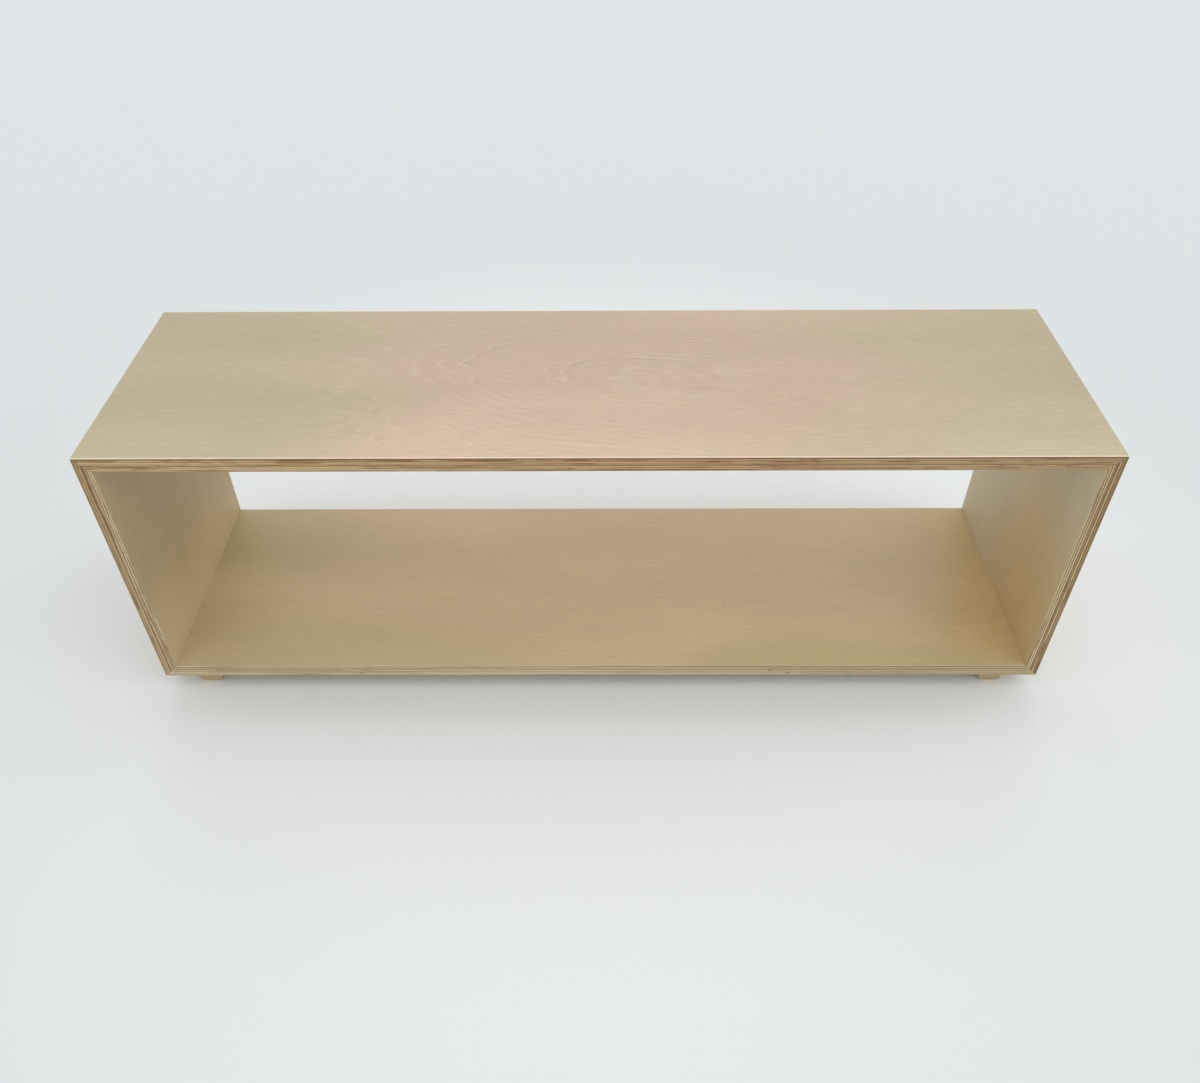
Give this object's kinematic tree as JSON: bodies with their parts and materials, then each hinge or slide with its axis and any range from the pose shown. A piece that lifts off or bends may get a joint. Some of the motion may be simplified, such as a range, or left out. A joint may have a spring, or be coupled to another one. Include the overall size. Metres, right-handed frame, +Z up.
{
  "type": "toy shelf",
  "caption": "Low open-fronted and open-backed box shelf of mitred birch plywood boards, raised on front-to-back runners, for books and toys.",
  "frame": {"origin": "on the floor, under the middle of the shelf's bounding box", "axes": "+X along the shelf to the right as seen from the front, +Y from front to back, +Z up"},
  "size_m": [1.1, 0.305, 0.367],
  "materials": {
    "birch_plywood": "clear satin lacquer, layered edges left to view",
    "solid_birch": "planed, clear satin lacquer",
    "beech": "pressed, unfinished",
    "zinc_steel": "bright zinc plate"
  },
  "bodies": {
    "root": {"top_panel": "birch_plywood", "bottom_panel": "birch_plywood", "left_side": "birch_plywood", "right_side": "birch_plywood", "runner_left": "solid_birch", "runner_right": "solid_birch", "biscuit_top_left_1": "beech", "biscuit_top_left_2": "beech", "biscuit_top_left_3": "beech", "biscuit_top_right_1": "beech", "biscuit_top_right_2": "beech", "biscuit_top_right_3": "beech", "biscuit_bottom_left_1": "beech", "biscuit_bottom_left_2": "beech", "biscuit_bottom_left_3": "beech", "biscuit_bottom_right_1": "beech", "biscuit_bottom_right_2": "beech", "biscuit_bottom_right_3": "beech", "screw_left_1": "zinc_steel", "screw_left_2": "zinc_steel", "screw_left_3": "zinc_steel", "screw_right_1": "zinc_steel", "screw_right_2": "zinc_steel", "screw_right_3": "zinc_steel"}
  },
  "joints": []
}
